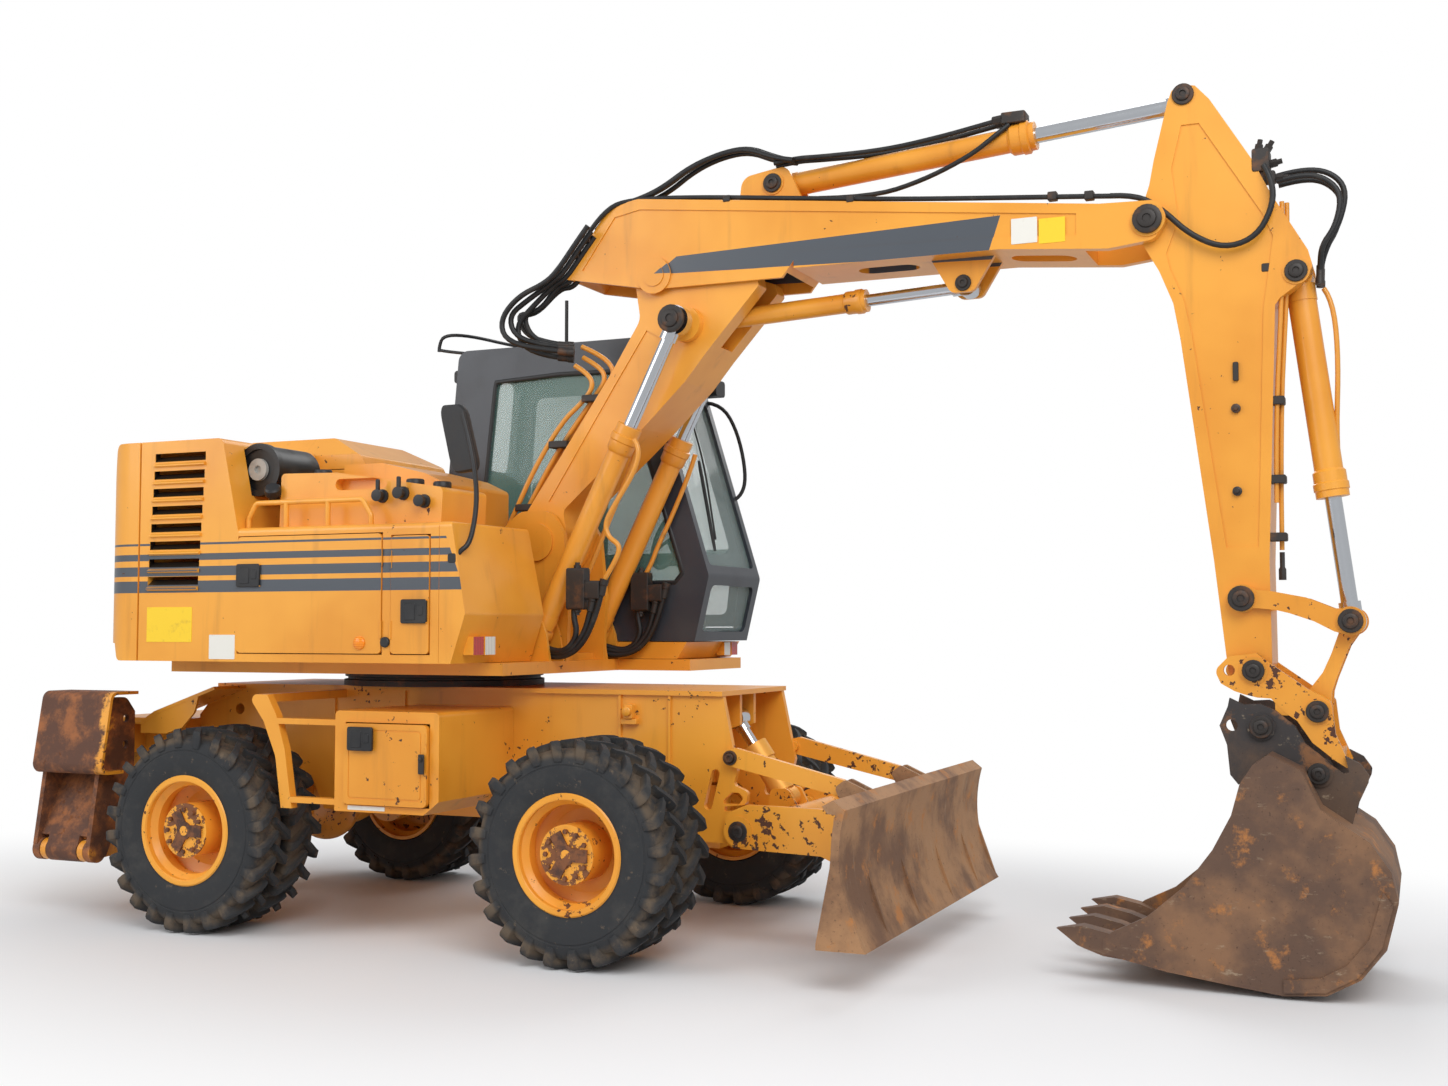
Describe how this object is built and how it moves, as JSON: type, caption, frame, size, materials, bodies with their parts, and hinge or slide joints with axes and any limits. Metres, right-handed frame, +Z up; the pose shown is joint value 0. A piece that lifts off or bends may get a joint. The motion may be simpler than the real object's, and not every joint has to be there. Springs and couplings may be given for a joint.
{
  "type": "wheeled excavator",
  "caption": "Twin-tyred wheeled excavator: slewing upper part with cab, two-piece boom, stick, bucket, front blade and fold-down legs behind.",
  "frame": {"origin": "on the ground, at the middle of the machine's box, under the front axle", "axes": "+X forward, +Y to the machine's left, +Z up"},
  "size_m": [7.261, 2.5, 4.27],
  "materials": {
    "chrome": "polished",
    "glass": "clear, faintly green",
    "lamp": "clear and red lenses",
    "paint": "semi-gloss orange-yellow paint, worn",
    "rust": "rusty brown steel",
    "seat": "dark seat cloth",
    "slate": "dark slate paint",
    "steel": "dark bare steel",
    "tyre": "dusty black rubber"
  },
  "bodies": {
    "chassis": {"chassis_frame": "paint", "slew_ring": "steel", "front_axle": "paint", "rear_axle": "paint", "side_box_right": "paint", "side_box_left": "paint"},
    "box_door": {"box_door": "paint"},
    "knuckle_right": {"knuckle_right": "paint"},
    "wheel_front_right": {"tyres_front_right": "tyre", "rim_front_right": "paint"},
    "wheel_rear_right": {"tyres_rear_right": "tyre", "rim_rear_right": "paint"},
    "leg_right": {"leg_right": "paint"},
    "knuckle_left": {"knuckle_left": "paint"},
    "wheel_front_left": {"tyres_front_left": "tyre", "rim_front_left": "paint"},
    "wheel_rear_left": {"tyres_rear_left": "tyre", "rim_rear_left": "paint"},
    "leg_left": {"leg_left": "paint"},
    "blade_arms": {"blade_arms": "paint"},
    "blade": {"blade": "rust"},
    "blade_links": {"blade_links": "paint"},
    "blade_barrel": {"blade_barrel": "paint"},
    "blade_rod": {"blade_rod": "chrome"},
    "house": {"house_frame": "paint", "counterweight": "paint", "body_right": "paint", "body_left": "paint", "engine_housing": "paint", "tank_hood": "paint", "engine_block": "steel", "corner_module": "paint", "cab_base": "paint", "lamps": "lamp", "cab_shell": "slate", "cab_seat": "seat", "handrail": "slate", "cab_glass": "glass", "air_cleaner": "steel"},
    "engine_hood": {"engine_hood": "paint"},
    "engine_door_right": {"engine_door_right": "paint"},
    "service_door": {"service_door": "paint"},
    "engine_door_left": {"engine_door_left": "paint"},
    "cab_door": {"cab_door": "slate"},
    "lower_boom": {"lower_boom": "paint"},
    "upper_boom": {"upper_boom": "paint"},
    "stick": {"stick": "paint"},
    "rocker": {"rocker": "paint"},
    "link": {"link": "paint"},
    "lift_barrels": {"lift_barrels": "paint"},
    "lift_rods": {"lift_rods": "chrome"},
    "adjust_barrel": {"adjust_barrel": "paint"},
    "adjust_rod": {"adjust_rod": "chrome"},
    "stick_barrel": {"stick_barrel": "paint"},
    "stick_rod": {"stick_rod": "chrome"},
    "bucket_barrel": {"bucket_barrel": "paint"},
    "bucket_rod": {"bucket_rod": "chrome"},
    "bucket_set": {"coupler": "paint", "bucket": "rust", "adapter": "steel"}
  },
  "joints": [
    {"name": "steer_right", "type": "hinge", "parent": "chassis", "child": "knuckle_right", "pos_m": [0, -0.56, 0.55], "axis": [0, 0, 1], "range_deg": [-25, 25]},
    {"name": "steer_left", "type": "hinge", "parent": "chassis", "child": "knuckle_left", "pos_m": [0, 0.56, 0.55], "axis": [0, 0, 1], "range_deg": [-25, 25]},
    {"name": "wheel_front_right", "type": "hinge", "parent": "knuckle_right", "child": "wheel_front_right", "pos_m": [0, 0, 0.55], "axis": [0, 1, 0], "continuous": true},
    {"name": "wheel_rear_right", "type": "hinge", "parent": "chassis", "child": "wheel_rear_right", "pos_m": [-2.335, 0, 0.55], "axis": [0, 1, 0], "continuous": true},
    {"name": "wheel_front_left", "type": "hinge", "parent": "knuckle_left", "child": "wheel_front_left", "pos_m": [0, 0, 0.55], "axis": [0, 1, 0], "continuous": true},
    {"name": "wheel_rear_left", "type": "hinge", "parent": "chassis", "child": "wheel_rear_left", "pos_m": [-2.335, 0, 0.55], "axis": [0, 1, 0], "continuous": true},
    {"name": "blade_lift", "type": "hinge", "parent": "chassis", "child": "blade_arms", "pos_m": [0.575, 0, 0.605], "axis": [0, -1, 0], "range_deg": [-17, 20]},
    {"name": "blade_level", "type": "hinge", "parent": "blade_arms", "child": "blade", "pos_m": [1.205, 0, 0.47], "axis": [0, 1, 0], "range_deg": [-17.74, 20.74]},
    {"name": "blade_links_swing", "type": "hinge", "parent": "chassis", "child": "blade_links", "pos_m": [0.53, 0, 0.975], "axis": [0, -1, 0], "range_deg": [-17.74, 20.74]},
    {"name": "blade_barrel_swing", "type": "hinge", "parent": "blade_arms", "child": "blade_barrel", "pos_m": [0.655, 0, 0.735], "axis": [0, -1, 0], "range_deg": [-23.52, 20.12]},
    {"name": "blade_rod_slide", "type": "slide", "parent": "blade_barrel", "child": "blade_rod", "axis": [-0.5728, 0, 0.8197], "range_m": [-0.0489, 0.0418]},
    {"name": "leg_fold_right", "type": "hinge", "parent": "chassis", "child": "leg_right", "pos_m": [-3.28, -1, 0.365], "axis": [1, 0, 0], "range_deg": [0, 114]},
    {"name": "leg_fold_left", "type": "hinge", "parent": "chassis", "child": "leg_left", "pos_m": [-3.28, 1, 0.365], "axis": [-1, 0, 0], "range_deg": [0, 114]},
    {"name": "slew", "type": "hinge", "parent": "chassis", "child": "house", "pos_m": [-1.5, 0, 1.39], "axis": [0, 0, 1], "continuous": true},
    {"name": "box_door_swing", "type": "hinge", "parent": "chassis", "child": "box_door", "pos_m": [-0.836, -1.174, 0.9], "axis": [0, 0, 1], "range_deg": [0, 95]},
    {"name": "engine_door_right_swing", "type": "hinge", "parent": "house", "child": "engine_door_right", "pos_m": [-1.085, -1.227, 1.8], "axis": [0, 0, 1], "range_deg": [0, 85]},
    {"name": "service_door_swing", "type": "hinge", "parent": "house", "child": "service_door", "pos_m": [-1.025, -1.227, 1.8], "axis": [0, 0, -1], "range_deg": [0, 85]},
    {"name": "engine_door_left_swing", "type": "hinge", "parent": "house", "child": "engine_door_left", "pos_m": [-1.955, 1.227, 1.95], "axis": [0, 0, -1], "range_deg": [0, 85]},
    {"name": "cab_door_swing", "type": "hinge", "parent": "house", "child": "cab_door", "pos_m": [-1.127, 1.207, 2.4], "axis": [0, 0, 1], "range_deg": [0, 85]},
    {"name": "engine_hood_lift", "type": "hinge", "parent": "house", "child": "engine_hood", "pos_m": [-1.762, 0, 2.557], "axis": [0, 1, 0], "range_deg": [0, 40]},
    {"name": "lower_boom_lift", "type": "hinge", "parent": "house", "child": "lower_boom", "pos_m": [-0.75, 0, 2.115], "axis": [0, -1, 0], "range_deg": [-45, 15]},
    {"name": "lift_barrels_swing", "type": "hinge", "parent": "house", "child": "lift_barrels", "pos_m": [-0.67, 0, 1.612], "axis": [0, -1, 0], "range_deg": [-37.49, 13.15]},
    {"name": "lift_rods_slide", "type": "slide", "parent": "lift_barrels", "child": "lift_rods", "axis": [0.4438, 0, 0.8961], "range_m": [-0.3028, 0.1062]},
    {"name": "upper_boom_fold", "type": "hinge", "parent": "lower_boom", "child": "upper_boom", "pos_m": [-0.03, 0, 3.56], "axis": [0, -1, 0], "range_deg": [-25, 45]},
    {"name": "adjust_barrel_swing", "type": "hinge", "parent": "lower_boom", "child": "adjust_barrel", "pos_m": [0.17, 0, 3.322], "axis": [0, -1, 0], "range_deg": [-28.44, 49.99]},
    {"name": "adjust_rod_slide", "type": "slide", "parent": "adjust_barrel", "child": "adjust_rod", "axis": [0.9987, 0, 0.0501], "range_m": [-0.1271, 0.2233]},
    {"name": "stick_swing", "type": "hinge", "parent": "upper_boom", "child": "stick", "pos_m": [2.609, 0, 3.598], "axis": [0, 1, 0], "range_deg": [-55, 12]},
    {"name": "stick_barrel_swing", "type": "hinge", "parent": "upper_boom", "child": "stick_barrel", "pos_m": [0.62, 0, 4.03], "axis": [0, -1, 0], "range_deg": [-0.367, 0.087]},
    {"name": "stick_rod_slide", "type": "slide", "parent": "stick_barrel", "child": "stick_rod", "axis": [0.9967, 0, 0.0809], "range_m": [-0.6004, 0.1422]},
    {"name": "bucket_curl", "type": "hinge", "parent": "stick", "child": "bucket_set", "pos_m": [3.058, 0, 1.439], "axis": [0, 1, 0], "range_deg": [-70, 65]},
    {"name": "rocker_swing", "type": "hinge", "parent": "stick", "child": "rocker", "pos_m": [3.008, 0, 1.773], "axis": [0, -1, 0], "range_deg": [-44.09, 47.35]},
    {"name": "link_swing", "type": "hinge", "parent": "rocker", "child": "link", "pos_m": [3.481, 0, 1.668], "axis": [0, -1, 0], "range_deg": [-27.34, 25.46]},
    {"name": "bucket_barrel_swing", "type": "hinge", "parent": "stick", "child": "bucket_barrel", "pos_m": [3.274, 0, 3.3], "axis": [0, -1, 0], "range_deg": [-2.73, 2.93]},
    {"name": "bucket_rod_slide", "type": "slide", "parent": "bucket_barrel", "child": "bucket_rod", "axis": [0.1258, 0, -0.9921], "range_m": [-0.3684, 0.3431]}
  ],
  "couplings": [
    {"joint": "steer_left", "follows": "steer_right", "ratio": 1},
    {"joint": "blade_level", "follows": "blade_lift", "ratio": 1},
    {"joint": "blade_links_swing", "follows": "blade_lift", "ratio": 1},
    {"joint": "blade_barrel_swing", "follows": "blade_lift", "ratio": -1.1343},
    {"joint": "blade_rod_slide", "follows": "blade_lift", "m_per_rad": -0.13514},
    {"joint": "lift_barrels_swing", "follows": "lower_boom_lift", "ratio": 0.81155},
    {"joint": "lift_rods_slide", "follows": "lower_boom_lift", "m_per_rad": 0.37547},
    {"joint": "adjust_barrel_swing", "follows": "upper_boom_fold", "ratio": 1.0773},
    {"joint": "adjust_rod_slide", "follows": "upper_boom_fold", "m_per_rad": 0.27576},
    {"joint": "stick_barrel_swing", "follows": "stick_swing", "ratio": 0.00652},
    {"joint": "stick_rod_slide", "follows": "stick_swing", "m_per_rad": 0.61055},
    {"joint": "rocker_swing", "follows": "bucket_curl", "ratio": -0.65131},
    {"joint": "link_swing", "follows": "bucket_curl", "ratio": 0.37609},
    {"joint": "bucket_barrel_swing", "follows": "bucket_curl", "ratio": -0.04034},
    {"joint": "bucket_rod_slide", "follows": "bucket_curl", "m_per_rad": 0.29034}
  ]
}
